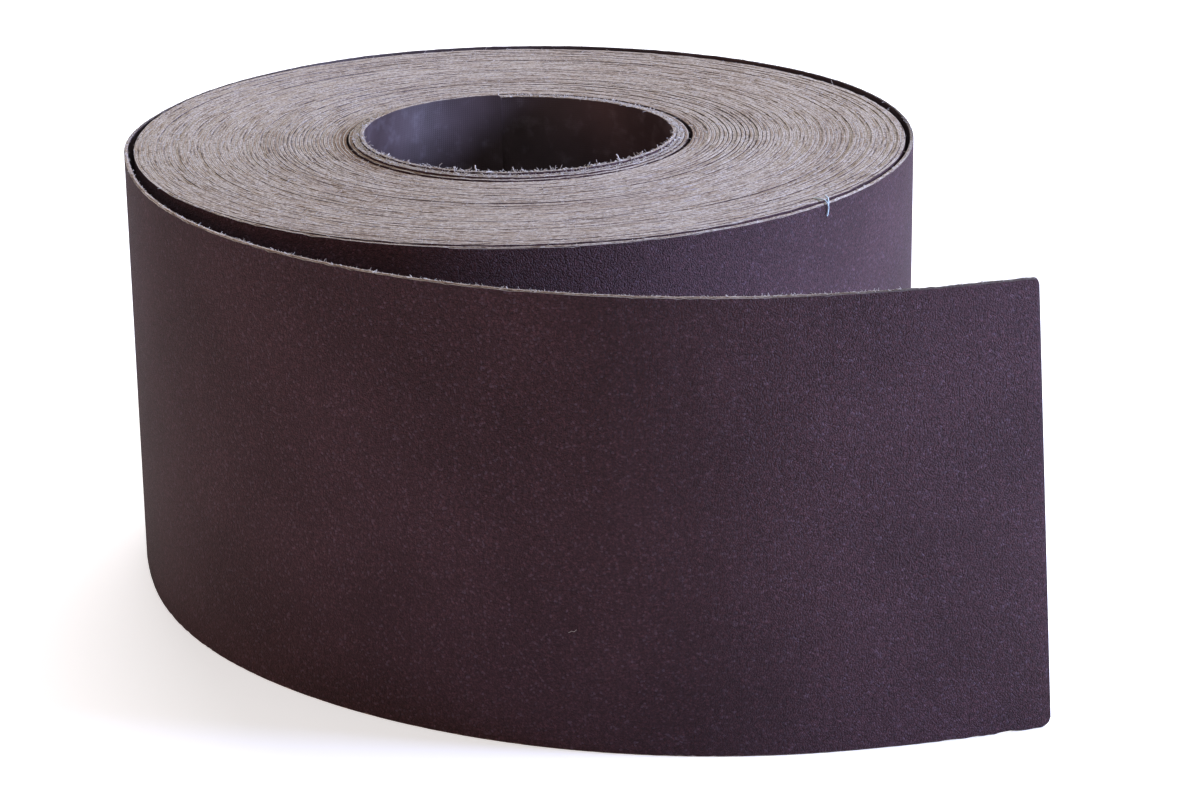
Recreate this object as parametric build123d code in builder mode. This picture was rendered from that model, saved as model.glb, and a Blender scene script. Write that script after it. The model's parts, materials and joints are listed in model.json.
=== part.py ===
"""A coreless roll of abrasive cloth with a loose tail.

One strip of resin-bonded abrasive cloth is wound on itself with no core, grit side out, and stands
on its cut edge.  Seen from above the strip winds anticlockwise from its inner end at the back of
the bore to its outer end, which has sprung off the roll and stands in front of it.

The strip's route is the line of the cloth's inner face in plan.  It is a chain of arcs, each
tangent to the one before, so both layers are the same chain moved outwards by a constant distance.
Origin: the axis of the bore, on the face that the roll stands on.  +Z is up the axis, -Y the front.
"""
from build123d import *
from math import cos, pi, radians, sin
import os

# The strip, in millimetres
strip_width = 100.0
cloth_thickness = 0.55
coat_thickness = 0.30
turn_gap = 0.03          # air between one turn of the wound pack and the next

# The wound roll
bore_radius = 37.0       # left by the spindle that the strip was wound on
inner_end_angle = 97.0   # where the strip begins, at the back of the bore
inner_end_sweep = 30.0   # the free tongue of the first turn
inner_turn_sweep = 240.0  # the rest of the first turn that lies on the bore
inner_end_clearance = 0.35  # between the tongue and the turn that passes behind it
inner_wrap_turns = 4     # a few turns that have come away from the pack
inner_wrap_gap = 0.60    # the gap behind them
pack_turns = 54          # tightly wound turns
last_turn_angle = 75.0   # how far past the pack's last half turn the loose turn begins
last_turn_sweep = 288.5  # how far the loose turn goes round before it leaves the roll
leave_gap = 0.41         # between the loose turn and the pack where it leaves

# The free tail: its length, and how much wider than the pack each stretch of it curves
tail_length = 262.8
tail_widening = (78.0, 34.0, 55.0, 46.0, 45.0, 175.0)
end_slant = 5.6          # the end is cut out of square: longer by this at the bottom than at the top
end_corner_radius = 2.0  # the cut end's corners are worn round

# Where the strip is free to bend, two stretches meet in a hinge
hinge_gap = 0.40

# Sizes that follow from the ones above
strip_thickness = cloth_thickness + coat_thickness
pitch = strip_thickness + turn_gap
step_out = strip_thickness + inner_end_clearance
stretch_length = tail_length / len(tail_widening)
layers = {
    "cloth": (0.0, cloth_thickness),
    "grit": (cloth_thickness, strip_thickness),
}


def outward(heading):
    """The direction away from the roll, for a strip that heads this way."""
    return Vector(sin(radians(heading)), -cos(radians(heading)))


def walk(place, arc):
    """The point and heading at the end of one (radius, sweep) arc that starts at this place."""
    point, heading = place
    radius, sweep = arc
    centre = point - outward(heading) * radius
    return centre + outward(heading + sweep) * radius, heading + sweep


def gap_arc(radius):
    """The short arc that a hinge leaves open."""
    return radius, hinge_gap / radius * 180 / pi


def layer_part(place, arcs, near, far):
    """One layer of the strip along a run of arcs, from near to far outside the inner face."""
    point, heading = place
    corners = []
    with BuildPart() as layer:
        with BuildSketch():
            with BuildLine():
                for offset in (near, far):
                    here = (point, heading)
                    corners.append(here[0] + outward(here[1]) * offset)
                    for radius, sweep in arcs:
                        direction = outward(here[1]).rotate(Axis.Z, 90)
                        JernArc(here[0] + outward(here[1]) * offset, direction, radius + offset, sweep)
                        here = walk(here, (radius, sweep))
                    corners.append(here[0] + outward(here[1]) * offset)
                near_start, near_end, far_start, far_end = corners
                Line(near_start, far_start)
                Line(near_end, far_end)
            make_face()
        extrude(amount=strip_width)
    return layer


def trim_end(layer, tip):
    """Cut the strip's outer end off out of square, and round its two corners."""
    middle = Vector(tip[0].X, tip[0].Y, strip_width / 2)
    across = outward(tip[1])
    slope = Vector(-across.Y * end_slant, across.X * end_slant, -strip_width)
    with layer:
        split(bisect_by=Plane(middle, x_dir=across, z_dir=across.cross(slope)), keep=Keep.BOTTOM)
        corners = layer.edges().filter_by(Axis.Z, reverse=True).filter_by(GeomType.LINE)
        fillet(corners.sort_by_distance(middle)[:2], end_corner_radius)


def save_stretch(name, place, arcs, is_last=False):
    """Write the cloth and the grit coat of one stretch of the strip, and return where it ends."""
    for material, (near, far) in layers.items():
        end = place
        for arc in arcs:
            end = walk(end, arc)
        if is_last:
            radius, sweep = arcs[-1]
            spare = end_slant / radius * 180 / pi
            layer = layer_part(place, arcs[:-1] + [(radius, sweep + spare)], near, far)
            trim_end(layer, end)
        else:
            layer = layer_part(place, arcs, near, far)
        layer.part.label = f"{name}_{material}"
        export_step(layer.part, f"parts/{layer.part.label}.step")
        print(layer.part.label, round(layer.part.volume), "mm3")
    return end


def length_of(arcs):
    """The length of a run of arcs along the middle of the strip's thickness."""
    return sum((radius + strip_thickness / 2) * radians(sweep) for radius, sweep in arcs)


def hinge_place(place, radius):
    """The middle of the hinge gap that starts here, at half the strip's thickness."""
    radius, sweep = gap_arc(radius)
    middle, heading = walk(place, (radius, sweep / 2))
    return middle + outward(heading) * strip_thickness / 2


os.makedirs("parts", exist_ok=True)
hinges = {}
strip_length = 0.0

# The tongue at the bore, free to be lifted inwards
start = Vector(bore_radius * cos(radians(inner_end_angle)), bore_radius * sin(radians(inner_end_angle)))
place = (start, inner_end_angle + 90)
tongue = [(bore_radius, inner_end_sweep)]
place = save_stretch("inner_end", place, tongue)
strip_length += length_of(tongue)
hinges["inner_end_lift"] = hinge_place(place, bore_radius)
place = walk(place, gap_arc(bore_radius))

# The first turn keeps the bore's radius, then half a turn swings out to pass behind the tongue
first_sweep = inner_turn_sweep - gap_arc(bore_radius)[1]
first_turn = [(bore_radius, first_sweep), (bore_radius + step_out, 180.0)]
place = save_stretch("inner_turn", place, first_turn)
strip_length += length_of(first_turn)
reach = bore_radius + 2 * step_out

# Each further turn is two half turns about centres half a pitch apart
inner_wraps = []
for turn in range(inner_wrap_turns):
    inner_wraps += [(reach + pitch / 2, 180.0), (reach + pitch, 180.0)]
    reach += pitch
inner_wraps += [(reach + (pitch + inner_wrap_gap) / 2, 180.0)]
place = save_stretch("inner_wraps", place, inner_wraps)
strip_length += length_of(inner_wraps)

pack = [(reach + pitch + inner_wrap_gap, 180.0)]
reach += pitch + inner_wrap_gap
for turn in range(pack_turns - 1):
    pack += [(reach + pitch / 2, 180.0), (reach + pitch, 180.0)]
    reach += pitch
pack += [(reach + pitch / 2, last_turn_angle)]
place = save_stretch("wound_pack", place, pack)
strip_length += length_of(pack)

# The last turn is a looser loop that meets the leave gap where the tail begins
slack = (strip_thickness + leave_gap) / (1 - cos(radians(last_turn_sweep)))
last_turn = [(reach + pitch / 2 + slack, last_turn_sweep)]
place = save_stretch("last_turn", place, last_turn)
strip_length += length_of(last_turn)

# The free tail
pack_radius = reach + strip_thickness
for number, widening in enumerate(tail_widening, start=1):
    radius = pack_radius + widening - strip_thickness
    hinges[f"tail_hinge_{number}"] = hinge_place(place, radius)
    place = walk(place, gap_arc(radius))
    stretch = [(radius, (stretch_length - hinge_gap) / radius * 180 / pi)]
    place = save_stretch(f"tail_{number}", place, stretch, is_last=number == len(tail_widening))
    strip_length += stretch_length

print("pack radius", round(pack_radius, 3), "mm, strip length", round(strip_length / 1000, 3), "m")
for name, point in hinges.items():
    print(name, round(point.X, 4), round(point.Y, 4))
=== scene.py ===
# %% [markdown]
# # A coreless roll of abrasive cloth
# The object is one long strip of abrasive cloth, wound on itself with no core and standing on its cut
# edge.  Its last turn is loose, and the free end has sprung off and curls past the front.  Everything
# in this lesson is that one strip, so most of the work is one idea: follow the strip's route, and
# give its two layers, its cut edges and its frayed threads the look of the real cloth.

# %% Load the frame
import bmesh
import bpy
import functools
import json
import math
import random
from mathutils import Matrix, Vector, noise
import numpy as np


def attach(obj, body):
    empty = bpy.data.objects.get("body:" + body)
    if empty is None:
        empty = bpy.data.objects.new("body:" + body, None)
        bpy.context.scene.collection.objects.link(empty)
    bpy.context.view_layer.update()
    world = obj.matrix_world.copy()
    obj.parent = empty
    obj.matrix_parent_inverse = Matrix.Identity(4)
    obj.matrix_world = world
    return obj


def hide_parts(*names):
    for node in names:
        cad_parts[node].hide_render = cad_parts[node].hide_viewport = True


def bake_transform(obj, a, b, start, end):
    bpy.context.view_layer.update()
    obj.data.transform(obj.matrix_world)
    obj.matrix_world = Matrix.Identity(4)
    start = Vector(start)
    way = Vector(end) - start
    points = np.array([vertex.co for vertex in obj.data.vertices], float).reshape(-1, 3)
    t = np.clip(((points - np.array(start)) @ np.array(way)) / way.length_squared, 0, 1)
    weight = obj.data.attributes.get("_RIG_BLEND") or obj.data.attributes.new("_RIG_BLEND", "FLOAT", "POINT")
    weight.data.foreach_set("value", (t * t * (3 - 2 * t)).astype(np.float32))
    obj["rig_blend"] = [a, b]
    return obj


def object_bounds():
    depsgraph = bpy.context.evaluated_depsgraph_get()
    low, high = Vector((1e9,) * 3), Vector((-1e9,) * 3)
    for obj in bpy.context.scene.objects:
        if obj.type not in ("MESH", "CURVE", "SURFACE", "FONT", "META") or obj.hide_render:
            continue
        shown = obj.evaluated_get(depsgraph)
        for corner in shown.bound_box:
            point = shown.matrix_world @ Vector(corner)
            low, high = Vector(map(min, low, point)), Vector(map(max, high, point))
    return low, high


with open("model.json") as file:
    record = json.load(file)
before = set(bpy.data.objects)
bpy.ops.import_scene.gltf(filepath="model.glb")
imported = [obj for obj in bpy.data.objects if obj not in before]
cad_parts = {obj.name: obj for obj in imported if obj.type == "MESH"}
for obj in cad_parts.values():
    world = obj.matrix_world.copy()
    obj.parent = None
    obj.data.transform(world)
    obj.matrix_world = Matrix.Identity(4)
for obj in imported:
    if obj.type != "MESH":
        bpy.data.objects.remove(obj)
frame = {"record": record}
cad_low, cad_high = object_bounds()
record = frame["record"]
print("the frame is", [round(side * 1000, 1) for side in cad_high - cad_low], "mm")

# %% [markdown]
# ## The strip's route
# The CAD model describes the strip by the line of the cloth's inner face, seen from above: a chain of
# arcs, each tangent to the one before.  The same chain is repeated here.  One way would be to read the
# line back from the CAD meshes, but those are loose triangles in separate nodes.  With the chain
# itself, every piece can be wound by Blender's spin tool, arc by arc, exactly where the CAD part is.

# %% Sizes of the strip and the roll
MM = 0.001
strip_width = cad_high.z - cad_low.z
cloth_thickness = 0.55 * MM
grit_thickness = 0.30 * MM
turn_gap = 0.03 * MM
strip_thickness = cloth_thickness + grit_thickness
pitch = strip_thickness + turn_gap

bore = next(mount for mount in record["mounts"] if mount["name"] == "bore")
bore_radius = bore["dims"]["r_mm"] * MM
inner_end_angle = 97.0
inner_end_sweep = 30.0
inner_turn_sweep = 240.0
step_out = strip_thickness + 0.35 * MM
inner_wrap_turns = 4
inner_wrap_gap = 0.60 * MM
pack_turns = 54
last_turn_angle = 75.0
last_turn_sweep = 288.5
leave_gap = 0.41 * MM
tail_length = 262.8 * MM
tail_widening = [widening * MM for widening in (78.0, 34.0, 55.0, 46.0, 45.0, 175.0)]
end_slant = 5.6 * MM
end_corner = 2.0 * MM
stretch_length = tail_length / len(tail_widening)
print("the strip is", round(strip_thickness * 1000, 2), "mm thick, and each stretch of the tail is",
      round(stretch_length * 1000, 1), "mm long")

# %% Chain the arcs together
chain = [(bore_radius, inner_end_sweep + inner_turn_sweep), (bore_radius + step_out, 180.0)]
reach = bore_radius + 2 * step_out
chain_parts = {"first turn": len(chain)}
for turn in range(inner_wrap_turns):
    chain += [(reach + pitch / 2, 180.0), (reach + pitch, 180.0)]
    reach += pitch
chain.append((reach + (pitch + inner_wrap_gap) / 2, 180.0))
chain_parts["inner wraps"] = len(chain)
reach += pitch + inner_wrap_gap
chain.append((reach, 180.0))
for turn in range(pack_turns - 1):
    chain += [(reach + pitch / 2, 180.0), (reach + pitch, 180.0)]
    reach += pitch
chain.append((reach + pitch / 2, last_turn_angle))
chain_parts["wound pack"] = len(chain)
slack = (strip_thickness + leave_gap) / (1 - math.cos(math.radians(last_turn_sweep)))
chain.append((reach + pitch / 2 + slack, last_turn_sweep))
chain_parts["last turn"] = len(chain)
for widening in tail_widening:
    radius = reach + widening
    chain.append((radius, math.degrees(stretch_length / radius)))
print("the chain has", len(chain), "arcs, out to", round(reach * 1000, 1), "mm")


# %% Walk along the chain
def outward(heading):
    """The direction away from the roll, for a strip that heads this way in plan."""
    angle = math.radians(heading)
    return Vector((math.sin(angle), -math.cos(angle), 0))


def walk(point, heading, radius, sweep):
    """The point and heading at the end of an arc."""
    centre = point - outward(heading) * radius
    return centre + outward(heading + sweep) * radius, heading + sweep


first_heading = inner_end_angle + 90
first_point = outward(first_heading) * bore_radius
knots = [(0.0, first_point, first_heading)]
for radius, sweep in chain:
    along, point, heading = knots[-1]
    end_point, end_heading = walk(point, heading, radius, sweep)
    knots.append((along + radius * math.radians(sweep), end_point, end_heading))
strip_length = knots[-1][0]
leave = knots[chain_parts["last turn"]][0]
print("the strip is", round(strip_length, 3), "m long, and leaves the roll at", round(leave, 3), "m")


# %% Find a place on the strip
def route(start, end):
    """The arcs of the chain between two distances along the strip, with where the first one starts."""
    arcs = []
    begin = None
    for (radius, sweep), (along, point, heading) in zip(chain, knots):
        far = along + radius * math.radians(sweep)
        low, high = max(start, along), min(end, far)
        if high - low > 1e-7:
            if begin is None:
                skipped = math.degrees((low - along) / radius)
                begin = walk(point, heading, radius, skipped)
            arcs.append((radius, math.degrees((high - low) / radius)))
    return begin, arcs


def place_on_route(along):
    """The point at the foot of the cloth's inner face, this far along the strip, and its heading."""
    (point, heading), arcs = route(along - 1e-5, along)
    for radius, sweep in arcs:
        point, heading = walk(point, heading, radius, sweep)
    return point, heading


first_hinge, hinge_heading = place_on_route(leave)
print("the tail's first hinge stands at", [round(side * 1000, 1) for side in first_hinge], "mm")
print("there the strip heads", round(hinge_heading % 360, 1), "degrees round from the right")

# %% [markdown]
# ## The camera
# A long lens some 80 cm away looks down on the roll at a low angle, so the wound face is a flat ellipse
# and the tail stands in front of it almost at full height.  The camera could be aimed with a constraint,
# but a matrix built from its own three directions says exactly how far it is pitched and rolled.

# %% Place the camera
camera_data = bpy.data.cameras.new("camera")
camera = bpy.data.objects.new("camera", camera_data)
bpy.context.scene.collection.objects.link(camera)
bpy.context.scene.camera = camera
camera_data.sensor_width = 36.0
camera_data.lens = 104.0
camera_data.clip_end = 20.0
camera_pitch = math.radians(18.49)
camera_roll = math.radians(-0.73)
camera_place = Vector((0.0187, -0.7954, strip_width + 0.2000))
level_right = Vector((1, 0, 0))
forward = Vector((0, math.cos(camera_pitch), -math.sin(camera_pitch)))
level_up = level_right.cross(forward)
right = level_right * math.cos(camera_roll) + level_up * math.sin(camera_roll)
up = level_up * math.cos(camera_roll) - level_right * math.sin(camera_roll)
turn = Matrix((right, up, -forward)).transposed().to_4x4()
camera.matrix_world = Matrix.Translation(camera_place) @ turn
print("the camera looks down by", round(math.degrees(camera_pitch), 1), "degrees through a",
      round(camera_data.lens), "mm lens")

# %% [markdown]
# ## Colours, nodes and light
# The roll stands on a white laminate bench in soft daylight, which comes from above and behind, so the
# wound face is light and the tail is in its own shade.  A cool window on the right rakes the grit on
# that side, and a weak warm light fills the left.  One bright sky could light it all, but then nothing
# would show the pebbled face: three large area lights over a dim sky do.

# %% Colours and nodes
def linear(code):
    """An sRGB hex colour as linear red, green, blue and alpha."""
    channels = [int(code[i:i + 2], 16) / 255 for i in (1, 3, 5)]
    return [c / 12.92 if c <= 0.04045 else ((c + 0.055) / 1.055) ** 2.4 for c in channels] + [1.0]


def add_node(tree, kind, inputs=None, **settings):
    """Adds a node, with its settings, and its inputs as values or as links from other nodes' outputs."""
    node = tree.nodes.new(kind)
    for name, value in settings.items():
        setattr(node, name, value)
    for name, value in (inputs or {}).items():
        if isinstance(value, bpy.types.NodeSocket):
            tree.links.new(value, node.inputs[name])
        else:
            node.inputs[name].default_value = value
    return node


def ramp(tree, factor, *stops):
    """A colour ramp with (position, hex colour) stops."""
    node = add_node(tree, "ShaderNodeValToRGB", {"Fac": factor})
    elements = node.color_ramp.elements
    while len(elements) < len(stops):
        elements.new(0.5)
    for element, (position, code) in zip(elements, stops):
        element.position = position
        element.color = linear(code)
    return node.outputs["Color"]


def new_material(name):
    """An empty node material, with its tree and its output."""
    material = bpy.data.materials.new(name)
    material.use_nodes = True
    material.node_tree.nodes.clear()
    return material, material.node_tree, add_node(material.node_tree, "ShaderNodeOutputMaterial")


print("mid grey is", round(linear("#808080")[0], 3), "in linear light")

# %% The sky
sky_strength = 0.44
world = bpy.data.worlds.new("daylight")
bpy.context.scene.world = world
world.use_nodes = True
sky = world.node_tree.nodes["Background"]
sky.inputs["Color"].default_value = linear("#f6f4f3")
sky.inputs["Strength"].default_value = sky_strength
bpy.context.scene.view_settings.view_transform = "Standard"
print("the sky shines at", sky_strength)

# %% The bench top
bench_size = 6.0
bench_glow = 0.50    # only the view sees it, so it lights nothing
bench_material, tree, output = new_material("white laminate bench")
seen = add_node(tree, "ShaderNodeLightPath").outputs["Is Camera Ray"]
glow = add_node(tree, "ShaderNodeMath", {0: seen, 1: bench_glow}, operation="MULTIPLY").outputs["Value"]
surface = add_node(tree, "ShaderNodeBsdfPrincipled",
                   {"Base Color": linear("#f4f4f4"), "Roughness": 0.8, "Specular IOR Level": 0.1,
                    "Emission Color": linear("#ffffff"), "Emission Strength": glow})
tree.links.new(surface.outputs["BSDF"], output.inputs["Surface"])
shape = bmesh.new()
bmesh.ops.create_grid(shape, x_segments=1, y_segments=1, size=bench_size)
bench_mesh = bpy.data.meshes.new("bench_top")
shape.to_mesh(bench_mesh)
shape.free()
bench = bpy.data.objects.new("bench_top", bench_mesh)
bench_mesh.materials.append(bench_material)
bpy.context.scene.collection.objects.link(bench)
print("the bench top is", 2 * bench_size, "m across")


# %% The windows
def softbox(name, place, target, size, watts, colour):
    """A large area light that faces the target."""
    data = bpy.data.lights.new(name, "AREA")
    data.shape = "DISK"
    data.size = size
    data.energy = watts
    data.color = linear(colour)[:3]
    lamp = bpy.data.objects.new(name, data)
    lamp.location = place
    lamp.rotation_euler = (Vector(target) - Vector(place)).to_track_quat("-Z", "Y").to_euler()
    bpy.context.scene.collection.objects.link(lamp)
    print(name, "is", size, "m across and gives", watts, "W")


roll_middle = (0, 0, strip_width / 2)
softbox("sky_window", (0.1, 1.0, 1.5), roll_middle, 1.2, 20.5, "#f6f2f6")
softbox("side_window", (1.5, -0.25, 0.50), roll_middle, 0.5, 54, "#bfccff")
softbox("warm_fill", (-1.3, -0.5, 0.35), roll_middle, 0.6, 3.0, "#ff8c55")

# %% [markdown]
# ## A map that follows the strip
# Every finish has a pattern that runs along the strip and bends with it.  A picture could be wrapped
# on, but it blurs close up, while noise worked out from the thread spacing and the grit size stays
# sharp.  All of it reads the strip's own map, which is in metres: along the strip, and round its section.

# %% Patterns at their real size
def metres(tree):
    """The strip's own map, in metres."""
    return add_node(tree, "ShaderNodeUVMap", uv_map="strip").outputs["UV"]


def noise_at(tree, place, size, detail=2.0, roughness=0.5):
    """Noise with features of this size."""
    inputs = {"Vector": place, "Scale": 1 / size, "Detail": detail, "Roughness": roughness}
    return add_node(tree, "ShaderNodeTexNoise", inputs, noise_dimensions="2D").outputs["Fac"]


def mix_colour(tree, first, second, factor=1.0, how="MULTIPLY"):
    """Two colours mixed."""
    return add_node(tree, "ShaderNodeMix", {6: first, 7: second, "Factor": factor},
                    data_type="RGBA", blend_type=how).outputs[2]


def cells_at(tree, place, size):
    """Grains of this size: their height, from 0 between them to about 1 on top, and a random value each."""
    cells = add_node(tree, "ShaderNodeTexVoronoi", {"Vector": place, "Scale": 1 / size},
                     voronoi_dimensions="2D", feature="F1")
    height = add_node(tree, "ShaderNodeMath", {0: 1.0, 1: cells.outputs["Distance"]},
                      operation="SUBTRACT")
    random_value = add_node(tree, "ShaderNodeSeparateColor", {"Color": cells.outputs["Color"]})
    return height.outputs["Value"], random_value.outputs["Red"]


def bump(tree, height, distance, strength=1.0, under=None):
    """Bumps of this height in metres, on top of the bumps under them."""
    inputs = {"Height": height, "Strength": strength, "Distance": distance}
    if under is not None:
        inputs["Normal"] = under
    return add_node(tree, "ShaderNodeBump", inputs).outputs["Normal"]


def vertex_value(tree, name):
    """A value that each vertex keeps, such as how dirty the edge is there."""
    return add_node(tree, "ShaderNodeAttribute", attribute_name=name).outputs["Fac"]


def finish_with(tree, output, inputs):
    """Joins a surface with these inputs to the material's output."""
    surface = add_node(tree, "ShaderNodeBsdfPrincipled", inputs)
    tree.links.new(surface.outputs["BSDF"], output.inputs["Surface"])
    print("this finish has", len(tree.nodes), "nodes")


# %% [markdown]
# ## The abrasive coat
# The strip's face is brown aluminium oxide grain, laid close in dark resin: matt, nearly black-brown,
# and pebbled.  The grain could be scattered as little stones, but millions of them would be needed.
# Two sizes of cells and some noise are mixed for the colour instead, and stand up as three bumps.

# %% Grit
clump_size = 0.50 * MM
grain_size = 0.30 * MM    # coarser than the real grain, which is too fine to show


def grit_material():
    """Closed-coat brown aluminium oxide in resin: dark and matt, pebbled by the grain, with painted shade in
    the hollows and painted glints on a few pebbles.
    """
    material, tree, output = new_material("brown aluminium oxide grit")
    place = metres(tree)
    clumps = noise_at(tree, place, clump_size * 2, 3.0, 0.6)
    pebbles, pebble_tone = cells_at(tree, place, clump_size)
    grains, grain_tone = cells_at(tree, place, grain_size)
    patches = noise_at(tree, place, 35 * MM, 3.0)
    resin = ramp(tree, clumps, (0.20, "#4b3034"), (0.50, "#583a40"), (0.80, "#69474f"))
    tint = ramp(tree, patches, (0.35, "#e4dcdc"), (0.65, "#ffffff"))
    # A random tone for each grain: the lightest grains stand partly for grain bared of resin and partly for
    # painted highlight where grains catch the light.
    bared_and_lit_grains = ramp(tree, grain_tone, (0.0, "#b4b0b2"), (0.75, "#cecacc"), (0.92, "#f2eef0"))
    # Painted shade: the hollows between the pebbles are painted darker.
    hollows = ramp(tree, pebbles, (0.25, "#a49ea2"), (0.80, "#ffffff"))
    hollow_shaded = mix_colour(tree, mix_colour(tree, resin, tint), hollows, 0.55)
    # Painted glints: a few pebbles are lightened as if their facets caught the light.
    painted_glints = ramp(tree, pebble_tone, (0.88, "#000000"), (1.0, "#37303a"))
    colour = mix_colour(tree, mix_colour(tree, hollow_shaded, bared_and_lit_grains), painted_glints, 1.0, "ADD")
    swells = bump(tree, clumps, 0.13 * MM)
    domes = bump(tree, pebbles, 0.17 * MM, under=swells)
    relief = bump(tree, grains, 0.16 * MM, under=domes)
    finish_with(tree, output, {"Base Color": colour, "Roughness": 0.66, "IOR": 1.5,
                               "Specular IOR Level": 0.26, "Normal": relief})
    return material


grit_finish = grit_material()

# %% [markdown]
# ## The slit yarns
# Where the cloth is slit, its undyed cotton yarns show as a pale, dry, fibrous edge, and the wound face
# is nothing but such edges.  Each yarn could be a tube, but there are thousands in every turn.  Noise
# drawn out along the strip gives their fibres, and two values kept on the vertices say where the edge
# is stained brown and where it is made darker: on the loose turn and near the free end.

# %% Slit yarns
def cut_edge_material():
    """Slit cotton yarns: pale, dry and fibrous, with brown dust of the coat in the hollows."""
    material, tree, output = new_material("slit cotton edge")
    place = metres(tree)
    stretched = add_node(tree, "ShaderNodeMapping", {"Vector": place, "Scale": (0.6, 1.0, 1.0)})
    fibres = noise_at(tree, stretched.outputs["Vector"], 0.6 * MM, 3.0, 0.65)
    yarn = ramp(tree, fibres, (0.28, "#776a5f"), (0.45, "#a0958a"), (0.62, "#c5bdb4"))
    dust = ramp(tree, noise_at(tree, place, 9 * MM, 3.0), (0.35, "#dfd5c8"), (0.60, "#ffffff"))
    browned = mix_colour(tree, mix_colour(tree, yarn, dust), linear("#ad9177"), vertex_value(tree, "stain"))
    # The yarn edge is made darker on the loose turn and near the free end.
    colour = mix_colour(tree, browned, linear("#2f2726"), vertex_value(tree, "dark_edge"), "MIX")
    finish_with(tree, output, {"Base Color": colour, "Roughness": 0.9, "IOR": 1.45,
                               "Normal": bump(tree, fibres, 0.25 * MM, 0.8)})
    return material


cloth_edge_finish = cut_edge_material()

# %% [markdown]
# ## The sized back
# The back is a cotton twill, filled and sized with brown resin: smooth, satin and brown-purple, with
# the weave just showing.  The threads could be woven from tubes, but under the resin only their swell
# is left.  Two crossed waves at the thread spacing, multiplied together, give that swell as a bump.

# %% Sized back
yarn_spacing = 0.55 * MM


def thread_wave(tree, place, direction):
    """Waves at the thread spacing, across the strip's X or Y."""
    inputs = {"Vector": place, "Scale": 1 / (yarn_spacing * 6.2832) * 2, "Distortion": 1.2, "Detail": 1.0}
    return add_node(tree, "ShaderNodeTexWave", inputs, wave_type="BANDS",
                    bands_direction=direction).outputs["Fac"]


def backing_material():
    """Resin-sized cotton twill: brown-purple, satin, with the weave just showing."""
    material, tree, output = new_material("resin sized cotton backing")
    place = metres(tree)
    weave = add_node(tree, "ShaderNodeMath", {0: thread_wave(tree, place, "X"),
                                              1: thread_wave(tree, place, "Y")},
                     operation="MULTIPLY").outputs["Value"]
    sized = ramp(tree, noise_at(tree, place, 14 * MM, 4.0), (0.30, "#3a2f30"), (0.70, "#4c4043"))
    dust = ramp(tree, noise_at(tree, place, 5 * MM, 4.0, 0.6), (0.55, "#000000"), (0.80, "#4c4b50"))
    finish_with(tree, output, {"Base Color": mix_colour(tree, sized, dust, 0.6, "ADD"),
                               "Roughness": 0.38, "IOR": 1.5,
                               "Normal": bump(tree, weave, 0.08 * MM, 0.35)})
    return material


cloth_back_finish = backing_material()

# %% [markdown]
# ## The coat's own edge
# Between the pale yarns the coat shows its own slit edge: dark resin and broken grain, greyed with
# cotton dust.  It could share the yarns' finish, but then the turns would melt into one another.  Its
# own ramp, darker and drawn out further along the strip, gives the fine dark lines between the turns.

# %% Coat edge
def grit_edge_material():
    """The coat's own cut edge: resin and broken grain, greyed with cotton dust."""
    material, tree, output = new_material("slit abrasive coat edge")
    place = metres(tree)
    drawn = add_node(tree, "ShaderNodeMapping", {"Vector": place, "Scale": (0.35, 1.0, 1.0)})
    broken = noise_at(tree, drawn.outputs["Vector"], 1.2 * MM, 3.0, 0.6)
    fluff = noise_at(tree, place, 12 * MM, 2.0)
    both = add_node(tree, "ShaderNodeMath", {0: broken, 1: fluff}, operation="ADD").outputs["Value"]
    dusted = add_node(tree, "ShaderNodeMath", {0: both, 1: 0.5}, operation="MULTIPLY").outputs["Value"]
    colour = ramp(tree, dusted, (0.34, "#4d4340"), (0.42, "#877d76"), (0.52, "#b0a9a1"))
    # The coat edge is made darker on the loose turn and near the free end.
    edge_darkened = mix_colour(tree, colour, linear("#2c2224"), vertex_value(tree, "dark_edge"), "MIX")
    finish_with(tree, output, {"Base Color": edge_darkened, "Roughness": 0.85})
    return material


grit_edge_finish = grit_edge_material()

# %% [markdown]
# ## How the real strip strays
# A wound strip is never as even as its drawing.  Its slit edges stand a little high and low, the first
# turns have crept up and bunched together, and the roll is not quite round.  A displace modifier could
# shake the mesh, but not turn by turn.  So each of these is a small function of how far along the
# strip a point is, and of how many degrees the strip has turned by then.

# %% How high the strip's edge stands
bore_creep = 0.80 * MM
wrap_creep = 0.30 * MM
side_creep = 0.45 * MM
side_creep_angle = 230
turn_drift = 0.17 * MM
short_drift = 0.15 * MM
loose_drop = 0.45 * MM
loose_from = sum(sweep for radius, sweep in chain[:chain_parts["wound pack"]])    # in degrees turned


def smooth(value, low, high):
    """0 below low, 1 above high, and smooth in between."""
    share = min(1.0, max(0.0, (value - low) / (high - low)))
    return share * share * (3 - 2 * share)


def lift(along, turned):
    """How far the strip's edge stands above its ideal place: the inner turns have crept up."""
    crept = bore_creep * (1 - smooth(turned, 190, 340)) + wrap_creep * (1 - smooth(turned, 900, 1500))
    beside = max(0.0, math.cos(math.radians(turned + inner_end_angle - side_creep_angle)))
    crept += side_creep * smooth(turned, 360, 450) * (1 - smooth(turned, 900, 1500)) * beside
    drift = (noise.noise(Vector((along * 2.2, 3.7, 0))) * turn_drift
             + noise.noise(Vector((along * 14.0, 9.1, 0))) * short_drift)
    dropped = loose_drop * smooth(turned, loose_from - 70, loose_from)
    dropped *= 1 - smooth(turned, loose_from + 70, loose_from + 120)
    return crept - dropped + drift * (1 - smooth(turned, loose_from - 400, loose_from))


print("the first turn stands", round(lift(0, 0) * 1000, 2), "mm above the face")

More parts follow.
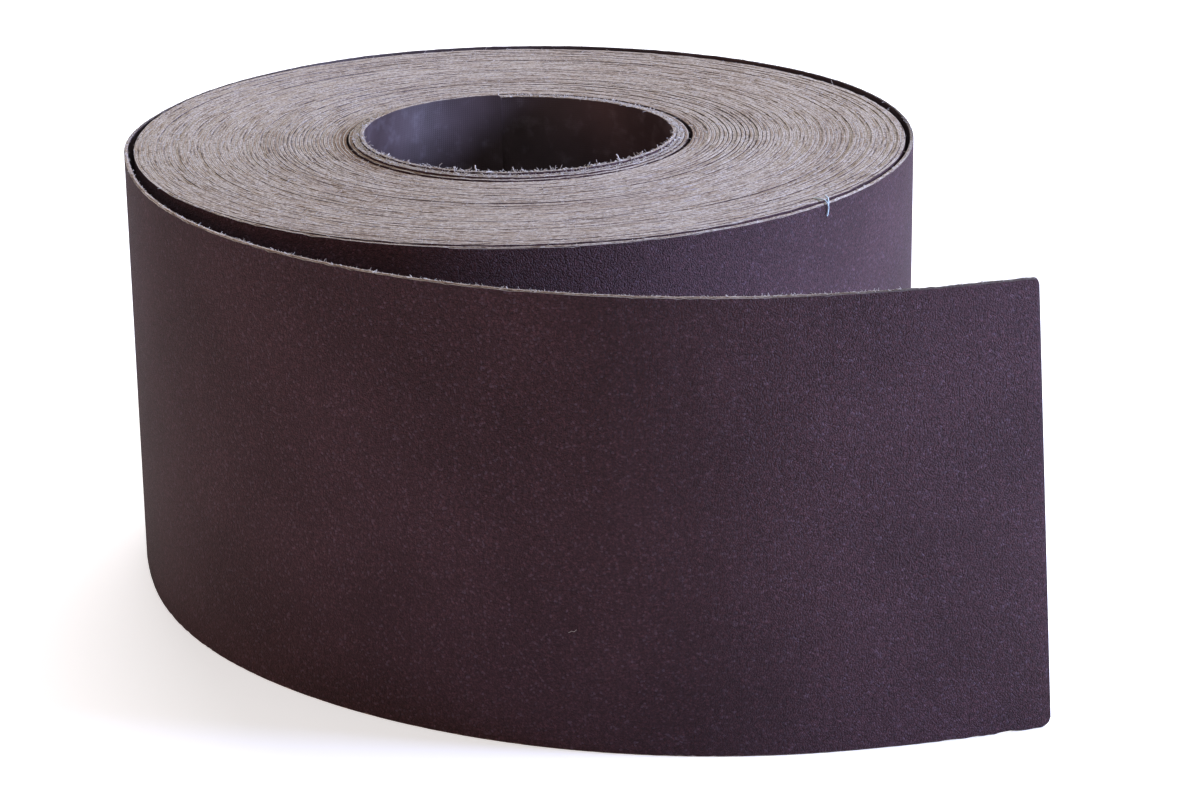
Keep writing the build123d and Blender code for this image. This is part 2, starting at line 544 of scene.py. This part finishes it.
# %% How the first turns bunch together
# How far the first turns really stand outside the bore, by the degrees turned
bunched = [(270, 0.0), (360, 1.0), (630, 1.0), (720, 1.9), (990, 1.9), (1080, 2.8), (1350, 2.85),
           (1530, 4.25), (1890, 5.15), (2250, 6.05)]
bunched_to, bunched_out = bunched[-1]
even_from = 9300    # in degrees turned; past this the turns lie as in the drawing


@functools.lru_cache(maxsize=None)
def squeeze(turned):
    """How far the first turns are moved in or out, so that they bunch together at the bore."""
    if turned <= bunched[0][0]:
        return 0.0
    for (radius, sweep), (along, point, heading) in zip(chain, knots):
        if heading - first_heading + sweep >= turned:
            ideal = walk(point, heading, radius, turned + first_heading - heading)[0].length
            break
    for (low, inner), (high, outer) in zip(bunched, bunched[1:]):
        if turned <= high:
            share = (turned - low) / (high - low)
            return bore_radius + (inner + (outer - inner) * share) * MM - ideal
    real = bore_radius + bunched_out * MM + pitch * (turned - bunched_to) / 360
    return (real - ideal) * (1 - smooth(turned, bunched_to, even_from))


print("the strip is moved in by", round(-squeeze(1440.0) * 1000, 2), "mm after four turns")

# %% How round the roll is
# The roll isn't quite round: cosine and sine parts of 1, 2 and 3 waves round the axis, in mm
out_of_round = [(0.14, -0.21), (-1.28, -0.27), (0.52, 0.47)]
# How far the loose turn is pressed in on either side, in mm, and where, in radians round the axis
pressed_right, pressed_left = 0.9, 1.65
right_place, left_place = -0.17, 2.7


def roundness(place, along, turned):
    """How far the roll is out of round here; the free tail is not."""
    angle = math.atan2(place.y, place.x)
    waves = sum(cosine * math.cos((count + 1) * angle) + sine * math.sin((count + 1) * angle)
                for count, (cosine, sine) in enumerate(out_of_round))
    if math.cos(angle) < 0:
        pressed = pressed_left * max(0.0, math.cos(2 * (abs(angle) - left_place)))
        pressed *= smooth(turned, loose_from + 180, loose_from + 230)
        pressed *= 1 - smooth(turned, loose_from + 255, loose_from + 285)
        waves *= 1 - 0.45 * smooth(turned, loose_from + 150, loose_from + 260)
    else:
        pressed = pressed_right * max(0.0, math.cos(2 * (angle - right_place)))
        pressed *= smooth(turned, loose_from, loose_from + 40)
    here = waves * place.to_2d().length / (bore_radius + pitch * 62) - pressed
    return here * MM * (1 - smooth(along, leave - 5 * MM, leave + 45 * MM))


side = Vector((reach, 0, 0))
print("the pack's right side is moved out by", round(roundness(side, 0, 9000) * 1000, 2), "mm")

# %% Move a point of the ideal strip to where the real one is
edge_ripple = 0.09 * MM
worn_depth = 0.55 * MM
slant_from = 60 * MM
top_corner = 0.6 * end_corner


def end_shape(height, along, turned):
    """How the free end is cut out of square, and how its edges are worn."""
    left = strip_length - along
    angle = math.radians(turned + first_heading)
    forwards = Vector((math.cos(angle), math.sin(angle), 0))
    moved = forwards * end_slant * (0.5 - height / strip_width) * (1 - smooth(left, 0, slant_from))
    worn = abs(noise.noise(Vector((along * 260, height * 90, 4.4)))) * worn_depth
    worn *= 1 - smooth(left, 5 * MM, 50 * MM)
    moved.z += worn if height < 0.5 * strip_width else -worn
    return moved


def stray(place, along, turned):
    """Moves a point of the ideal strip to where the real one is."""
    height = place.z
    squeezed = squeeze(round(turned, 3)) if turned < even_from else 0.0
    away = Vector((place.x, place.y, 0)).normalized()
    moved = place + away * (squeezed + roundness(place, along, turned))
    amount = lift(along, turned) + noise.noise(Vector((along * 420, height * 900, 1.3))) * edge_ripple
    moved.z += amount if height > 0.5 * strip_width else max(0.0, amount)
    left = strip_length - along
    if left < slant_from:
        moved += end_shape(height, along, turned)
    to_end = min(left, along)
    corner = end_corner if height < 0.5 * strip_width else top_corner
    if to_end < corner:
        drop = corner - math.sqrt(max(0.0, corner ** 2 - (corner - to_end) ** 2))
        moved.z += drop if height < 0.5 * strip_width else -drop
    return moved


strayed = stray(side, 0, 9000) - side
print("that side is moved by", [round(amount * 1000, 2) for amount in strayed], "mm in all")

# %% Chips, darker edges and stains
chip_depth = 0.5 * MM


def chip(height, along):
    """How far the slitting blade has chipped the coat back at its top or bottom edge."""
    depth = max(0.0, noise.noise(Vector((along * 700, 2.2, 0))) - 0.1) * chip_depth
    return -depth if height > 0.5 * strip_width else depth


def dark_edge(along, turned):
    """How much darker the cut edge is made, from 0 to 1: on the loose turn and near the free end."""
    on_loose_turn = smooth(turned, loose_from + 70, loose_from + 110) * (1 - smooth(along, leave - 45 * MM, leave))
    at_end = smooth(along, strip_length - 70 * MM, strip_length - 25 * MM)
    return 0.92 * on_loose_turn + 0.75 * at_end


def stain(along, turned):
    """How brown the cut edge is, from 0 to 1: worst beside the gap behind the first few turns."""
    angle = math.radians(turned + inner_end_angle)
    beside = smooth(turned, 800, 1300) * (1 - smooth(turned, 1500, 4000))
    beside *= max(0.0, math.cos(2 * angle - 0.5))
    place = Vector((math.cos(angle) * 1.5, math.sin(angle) * 1.5, turned / 3500))
    patches = smooth(noise.noise(place), 0.0, 0.6)
    return min(1.0, 0.75 * beside + 0.30 * patches)


print("the free end's edge is", dark_edge(strip_length, 0), "darkened")

# %% [markdown]
# ## Winding a layer
# A layer could be a flat grid bent by a curve modifier, but over sixty turns the modifier drifts off the
# CAD route.  Instead a section of the layer, a closed ring of a few vertices, is spun about each arc's
# centre in turn.  Each arc gets a bmesh of its own and is then joined on, because a spin slows down as
# the mesh around it grows.  Each vertex keeps how far along it is and how far the strip has turned.

# %% Spin one arc
def data_layers(shape):
    """What each vertex keeps: its distance along the strip, the degrees turned, and its corner's number."""
    floats, whole = shape.verts.layers.float, shape.verts.layers.int
    return (floats.get("along") or floats.new("along"), floats.get("turned") or floats.new("turned"),
            whole.get("row") or whole.new("row"))


def spin_arc(shape, section, start, along, step):
    """Adds one arc of the layer to the shape, spun about the arc's centre."""
    point, heading, radius, sweep = start
    part = bmesh.new()
    along_data, turned_data, row_data = data_layers(part)
    ring = []
    for row, (offset, height) in enumerate(section):
        vert = part.verts.new(point + outward(heading) * offset + Vector((0, 0, height)))
        vert[row_data] = row
        ring.append(vert)
    edges = [part.edges.new((ring[row - 1], ring[row])) for row in range(len(ring))]
    steps = max(1, math.ceil(math.radians(sweep) * radius / step))
    bmesh.ops.spin(part, geom=ring + edges, cent=point - outward(heading) * radius, axis=(0, 0, 1),
                   dvec=(0, 0, 0), angle=math.radians(sweep), steps=steps)
    for number, vert in enumerate(part.verts):
        share = (number // len(section)) / steps
        vert[along_data] = along + share * radius * math.radians(sweep)
        vert[turned_data] = heading + share * sweep - first_heading
    part_mesh = bpy.data.meshes.new("arc")
    part.to_mesh(part_mesh)
    part.free()
    shape.from_mesh(part_mesh)
    bpy.data.meshes.remove(part_mesh)


# %% Join the arcs
weld = 0.003 * MM


def wind_shape(section, runs):
    """A closed layer, as a bmesh.  A run is a stretch of the strip, as (start, end, step)."""
    shape = bmesh.new()
    data_layers(shape)
    for start, end, step in runs:
        (point, heading), arcs = route(start, end)
        along = start
        for radius, sweep in arcs:
            spin_arc(shape, section, (point, heading, radius, sweep), along, step)
            along += radius * math.radians(sweep)
            point, heading = walk(point, heading, radius, sweep)
    loose_ends = {vert for edge in shape.edges if edge.is_boundary for vert in edge.verts}
    bmesh.ops.remove_doubles(shape, verts=list(loose_ends), dist=weld)
    along_data, turned_data, row_data = data_layers(shape)
    for where in (runs[0][0], runs[-1][1]):
        rim = {vert for edge in shape.edges if edge.is_boundary for vert in edge.verts
               if abs(vert[along_data] - where) < 0.01 * MM}
        shape.faces.new(sorted(rim, key=lambda vert: vert[row_data]))
    bmesh.ops.recalc_face_normals(shape, faces=shape.faces)
    return shape


print("arcs are welded where their ends are within", weld * 1e6, "thousandths of a millimetre")

# %% Give the faces their map and their finish
def map_faces(shape, section):
    """Writes the strip's own map, and picks each face's finish by its place in the section."""
    along_data, turned_data, row_data = data_layers(shape)
    corners = [(offset, height) for offset, height, finish in section]
    round_section = [0.0]
    for (x, y), (next_x, next_y) in zip(corners, corners[1:] + corners[:1]):
        round_section.append(round_section[-1] + math.hypot(next_x - x, next_y - y))
    strip_map = shape.loops.layers.uv.new("strip")
    count = len(section)
    for face in shape.faces:
        rows = {vert[row_data] for vert in face.verts}
        cap = len(rows) > 2
        closing = rows == {0, count - 1}
        face.material_index = EDGE if cap else section[count - 1 if closing else min(rows)][2]
        face.smooth = not cap
        for loop in face.loops:
            row, along = loop.vert[row_data], loop.vert[along_data]
            if cap:
                loop[strip_map].uv = (corners[row][0] + along, corners[row][1])
            else:
                loop[strip_map].uv = (along, round_section[count if closing and not row else row])
    for edge in shape.edges:
        edge.smooth = edge.calc_face_angle(0) < sharp_angle


def let_stray(shape, chipped):
    """Moves every vertex to where the real strip is, and notes how much darker and how stained its edge is.
    """
    along_data, turned_data, row_data = data_layers(shape)
    dark_edge_data = shape.verts.layers.float.new("dark_edge")
    stain_data = shape.verts.layers.float.new("stain")
    for vert in shape.verts:
        vert[dark_edge_data] = dark_edge(vert[along_data], vert[turned_data])
        vert[stain_data] = stain(vert[along_data], vert[turned_data])
        vert.co = stray(vert.co, vert[along_data], vert[turned_data])
        if chipped:
            vert.co.z += chip(vert.co.z, vert[along_data])


EDGE, FACE = 0, 1
sharp_angle = math.radians(35)
print("edges sharper than", round(math.degrees(sharp_angle)), "degrees stay sharp")

# %% Make a piece of a layer
def wind(name, section, runs, finishes, slot, cad_nodes=(), body=None):
    """Makes one piece of a layer.  A section corner is (outward, height, finish of the face after it)."""
    shape = wind_shape([(offset, height) for offset, height, finish in section], runs)
    map_faces(shape, section)
    let_stray(shape, slot == "abrasive_grit")
    mesh = bpy.data.meshes.new(name)
    shape.to_mesh(mesh)
    shape.free()
    piece = bpy.data.objects.new(name, mesh)
    bpy.context.scene.collection.objects.link(piece)
    for finish in finishes:
        mesh.materials.append(finish)
    if body:
        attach(piece, body)
    if cad_nodes:
        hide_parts(*cad_nodes)
    length = round((runs[-1][1] - runs[0][0]) * 1000)
    print(name, "has", len(mesh.polygons), "faces over", length, "mm of strip")
    return piece


# %% [markdown]
# ## The sections of the two layers
# A slit edge isn't square: the blade rounds it over, and chips the hard coat back so that a pale line
# of yarn shows above the dark grit.  So the cloth's section has chamfered corners, its edge faces are a
# finish of their own, and the coat stops a little short of the cloth at the top and the bottom.

# %% Sections
chamfer = 0.05 * MM
chip_back = 0.22 * MM
pack_recess = 0.02 * MM


def cloth_section(show):
    """The cloth's ring of corners; show is how much of the outer face is bare at each edge."""
    top, thick = strip_width, cloth_thickness
    return [(thick, show, FACE), (thick, top - show, EDGE), (thick - chamfer, top, EDGE),
            (chamfer, top, EDGE), (0, top - 1.2 * chamfer, FACE), (0, 1.2 * chamfer, EDGE),
            (chamfer, 0, EDGE), (thick - chamfer, 0, EDGE)]


def grit_section(short):
    """The coat's ring of corners; short is how far it stops below the cloth's edge."""
    near, far, top = cloth_thickness, strip_thickness, strip_width - short
    return [(near, short, FACE), (near, top, EDGE), (far - 0.3 * chamfer, top, FACE),
            (far, top - 0.6 * chamfer, FACE), (far, short + 0.6 * chamfer, EDGE),
            (far - 0.3 * chamfer, short, EDGE)]


cloth_finishes = [cloth_edge_finish, cloth_back_finish]
grit_finishes = [grit_edge_finish, grit_finish]
print("the yarns stand", chip_back * 1000, "mm above the coat on the loose lengths")

# %% [markdown]
# ## The roll
# The roll is four lengths of the strip: the first turn, which lines the bore, four turns that have come
# away from the pack, the tight pack itself, and the loose last turn.  All sixty turns could be one
# piece, but the CAD model has them apart, and the tight pack can do with longer steps than the turns
# that are seen from the side.  Neither the pack nor the rest can move, so all of it rides on the roll.

# %% Wind the roll
part_end = {part: knots[count][0] for part, count in chain_parts.items()}
hinge_along = bore_radius * math.radians(inner_end_sweep)
tongue_end = 2 * hinge_along
tail_start = part_end["last turn"] - 25 * MM
body_parts = [
    ("first_turn", tongue_end, part_end["first turn"], 1.5 * MM, "inner_turn"),
    ("inner_wrap", part_end["first turn"], part_end["inner wraps"], 1.8 * MM, "inner_wraps"),
    ("pack", part_end["inner wraps"], part_end["wound pack"], 2.6 * MM, "wound_pack"),
    ("last_turn", part_end["wound pack"], tail_start, 1.5 * MM, "last_turn"),
]
for name, start, end, step, node in body_parts:
    loose = name == "last_turn"
    cloth = wind(f"{name}_cloth_strip", cloth_section(chip_back if loose else 2 * chamfer),
                 [(start, end, step)], cloth_finishes, "cloth_backing", [f"{node}_cloth"], "roll")
    coat = wind(f"{name}_grit_coat", grit_section(chip_back if loose else pack_recess),
                [(start, end, step)], grit_finishes, "abrasive_grit", [f"{node}_grit"], "roll")

# %% [markdown]
# ## The tongue at the inner end
# The strip's inner end is free for a few centimetres, and can be picked away from the bore's wall.  It
# could swing as a rigid flap, but cloth has no hinge and the flap would tear off the roll.  So the piece
# is blended: it follows the roll on one side of the hinge, the inner end on the other, and bends between.

# %% Tongue
bend = 9 * MM
corner_step = 0.3 * MM
loose_layers = [("cloth", cloth_section(chip_back), cloth_finishes, "cloth_backing"),
                ("grit", grit_section(chip_back), grit_finishes, "abrasive_grit")]


def wind_loose(name, runs, nodes, place_on):
    """The cloth and the coat of a free stretch, which place_on ties to the bodies."""
    made = []
    for layer, section, finishes, slot in loose_layers:
        made.append(wind(f"{name}_{layer}", section, runs, finishes, slot,
                         [f"{node}_{layer}" for node in nodes]))
        place_on(made[-1])


def on_tongue(piece):
    """Bends the piece between the roll and the inner end."""
    bend_start, bend_end = [place_on_route(hinge_along + away)[0] for away in (bend, -bend)]
    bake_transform(piece, "roll", "inner_end", bend_start, bend_end)


tongue_runs = [(0, end_corner, corner_step), (end_corner, tongue_end, 1.5 * MM)]
wind_loose("tongue", tongue_runs, ["inner_end"], on_tongue)

# %% [markdown]
# ## The free tail
# The tail is the free end of the strip.  It has sprung off the roll in a wide curl, and opens and closes
# by bending all along.  It could be one piece on many bodies, but a piece can be blended between two
# only.  So it is cut halfway between the hinges, and each stretch bends about the hinge in its middle.

# %% Tail
last = len(tail_widening)
tail_step = 1.2 * MM


def on_tail(piece, number):
    """Bends a stretch of the tail between the bodies on either side of its hinge."""
    if number == last:
        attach(piece, f"tail_{number}")
        return
    hinge = leave + number * stretch_length
    half = stretch_length / 2
    bend_start, bend_end = [place_on_route(hinge + away)[0] for away in (-half, half)]
    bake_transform(piece, f"tail_{number}" if number else "roll", f"tail_{number + 1}", bend_start, bend_end)


tail_runs = []
for number in range(last + 1):
    start = leave + (number - 0.5) * stretch_length if number else tail_start
    tail_runs.append((start, min(leave + (number + 0.5) * stretch_length, strip_length)))
for number, (start, end) in enumerate(tail_runs):
    runs = [(start, end, tail_step)]
    if number == last:
        runs = [(start, end - end_corner, tail_step), (end - end_corner, end, corner_step)]
    wind_loose(f"free_tail_{number}", runs, [f"tail_{number}"] if number else [],
               lambda piece: on_tail(piece, number))

# %% [markdown]
# ## Loose fibres
# The blade that slits the cloth leaves the yarns' ends loose, so every cut edge has a down of short
# pale fibres, and now and then a longer one.  They could be hair particles, but those can't be
# handed over as a mesh.  Each fibre here is a short spline with a thin round bevel.  Thousands share
# one curve, which is then turned into a mesh.

# %% Cotton
chance = random.Random(7)


def fibre_material(name, colour):
    """Loose undyed cotton."""
    material, tree, output = new_material(name)
    surface = add_node(tree, "ShaderNodeBsdfPrincipled",
                       {"Base Color": linear(colour), "Roughness": 0.95, "IOR": 1.45})
    tree.links.new(surface.outputs["BSDF"], output.inputs["Surface"])
    return material


cotton = fibre_material("loose cotton fibre", "#bdb8b2")
blue_cotton = fibre_material("bluish cotton thread", "#b9cacf")
print("made", cotton.name, "and", blue_cotton.name)


# %% Thin tubes along lines
stout = 2.8


def strip_point(along, offset, height):
    """A point on the real strip, this far outside the cloth's inner face, and this high."""
    point, heading = place_on_route(along)
    ideal = point + outward(heading) * offset + Vector((0, 0, height))
    return stray(ideal, along, heading - first_heading)


def tubes(name, lines, thickness, material, stout_share=0.0):
    """One mesh of thin round tubes that follow the lines; a share of them are stout, as pulled yarns are."""
    data = bpy.data.curves.new(name, "CURVE")
    data.dimensions = "3D"
    data.bevel_depth = thickness / 2
    data.bevel_resolution = 0
    data.use_fill_caps = True
    for line in lines:
        spline = data.splines.new("POLY")
        spline.points.add(len(line) - 1)
        stoutness = stout if chance.random() < stout_share else 1.0
        for point, place in zip(spline.points, line):
            point.co = (*place, 1)
            point.radius = stoutness
    curve = bpy.data.objects.new(name + "_lines", data)
    bpy.context.scene.collection.objects.link(curve)
    mesh = bpy.data.meshes.new_from_object(curve.evaluated_get(bpy.context.evaluated_depsgraph_get()))
    bpy.data.objects.remove(curve)
    mesh.name = name
    piece = bpy.data.objects.new(name, mesh)
    bpy.context.scene.collection.objects.link(piece)
    mesh.materials.clear()
    mesh.materials.append(material)
    print(name, "has", len(lines), "fibres and", len(mesh.polygons), "faces")
    return piece


print("a stout fibre is", stout, "times as thick as the rest")

# %% Fibres that start on the cut edge
def fray(count, start, end, shortest, longest, rise):
    """Lines for fibres that start on the top edge and wander; rise is how much they stand up."""
    lines = []
    for number in range(count):
        along = chance.uniform(start, end)
        place = strip_point(along, chance.uniform(0.05, 0.95) * cloth_thickness, strip_width)
        place.z -= 0.05 * MM
        length = shortest + (longest - shortest) * chance.random() ** 4
        course = Vector((chance.uniform(-1, 1), chance.uniform(-1, 1), chance.uniform(0.2, 1) * rise))
        line = [place]
        for part in range(3):
            line.append(line[-1] + course.normalized() * length / 3)
            wander = (chance.uniform(-1, 1), chance.uniform(-1, 1), chance.uniform(-1, 0.6) * rise)
            course = course.normalized() + 0.8 * Vector(wander)
        lines.append(line)
    return lines


print("fibres can start anywhere on", round(strip_length, 1), "m of edge")

# %% [markdown]
# ## Down on the cut edges
# The down is thin and short on the wound face, and thicker where hands and blades have rubbed it: at
# the bore, most of all at its front, and along the tail.  Every edge could share one count, but then
# the face would look furry before the bore looked frayed.  A fleck of lint also lies on the tail.

# %% Down on the roll
fine, coarse, pulled = 0.085 * MM, 0.09 * MM, 0.13 * MM
face_fibres, bore_fibres, lint_fibres, tail_fibres = 6500, 4200, 150, 200
bore_front = (140, 225)    # where the bore's front is, in degrees turned
half_way = 0.5 * (part_end["first turn"] + part_end["wound pack"])
for name, start, end in (("inner", part_end["first turn"], half_way), ("outer", half_way, tail_start)):
    face_lines = fray(face_fibres, start, end, 0.3 * MM, 1.8 * MM, 0.22)
    down = tubes(f"face_down_{name}", face_lines, fine, cotton)
    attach(down, "roll")
three_turns = tongue_end + 3 * math.tau * bore_radius
bore_lines = fray(bore_fibres, tongue_end, three_turns, 0.25 * MM, 1.5 * MM, 0.5)
bore_down = tubes("bore_down", bore_lines, coarse, cotton, 0.12)
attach(bore_down, "roll")
lint_start, lint_end = [bore_radius * math.radians(turned) for turned in bore_front]
lint_lines = fray(lint_fibres, lint_start, lint_end, 0.5 * MM, 2.0 * MM, 0.8)
bore_lint = tubes("bore_lint", lint_lines, pulled, cotton, 0.2)
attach(bore_lint, "roll")

# %% Down and a fleck of lint on the tail
fleck_stretch = 4
fleck_along, fleck_height = leave + 163.3 * MM, 27.0 * MM
fleck_out = strip_thickness + 0.08 * MM
fleck_course = [(-0.9, -0.3), (-0.2, 0.1), (0.3, 0.0), (0.8, 0.5)]
for number, (start, end) in enumerate(tail_runs):
    lines = fray(tail_fibres, start, end, 0.2 * MM, 1.0 * MM, 0.5)
    if number == fleck_stretch:
        lines.append([strip_point(fleck_along + x * MM, fleck_out, fleck_height + y * MM)
                      for x, y in fleck_course])
    down = tubes(f"free_tail_{number}_down", lines, coarse, cotton, 0.05)
    on_tail(down, number)

# %% [markdown]
# ## The loose thread
# One bluish thread has come out between the pack and the loose turn at the front right, and hangs over
# the edge with its end split.  It could hang by simulation, but it is stiff with resin and a centimetre
# long.  A few points, given out from the strip, up from its edge and along it, set its course.

# %% Thread
thread_turn = math.radians(56)
loose_radius = knots[chain_parts["wound pack"]][1].length
thread_along = part_end["wound pack"] + loose_radius * thread_turn
thread_course = [(-4.2, 0.10, 0.6), (-2.6, 0.50, 0.1), (-0.9, 0.75, -0.3), (0.6, 0.65, -0.2),
                 (1.20, 0.05, 0.0), (1.28, -0.9, 0.2), (1.18, -1.9, 0.1), (1.25, -2.8, -0.3)]
split_end = [(1.22, -0.5, 0.1), (1.15, 0.35, 0.25), (0.7, 1.0, 0.7), (-0.4, 1.25, 1.1)]
thread_lines = [[strip_point(thread_along + sideways * MM, out * MM, strip_width + above * MM)
                 for out, above, sideways in course] for course in (thread_course, split_end)]
thread = tubes("loose_thread", thread_lines, 0.40 * MM, blue_cotton)
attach(thread, "roll")
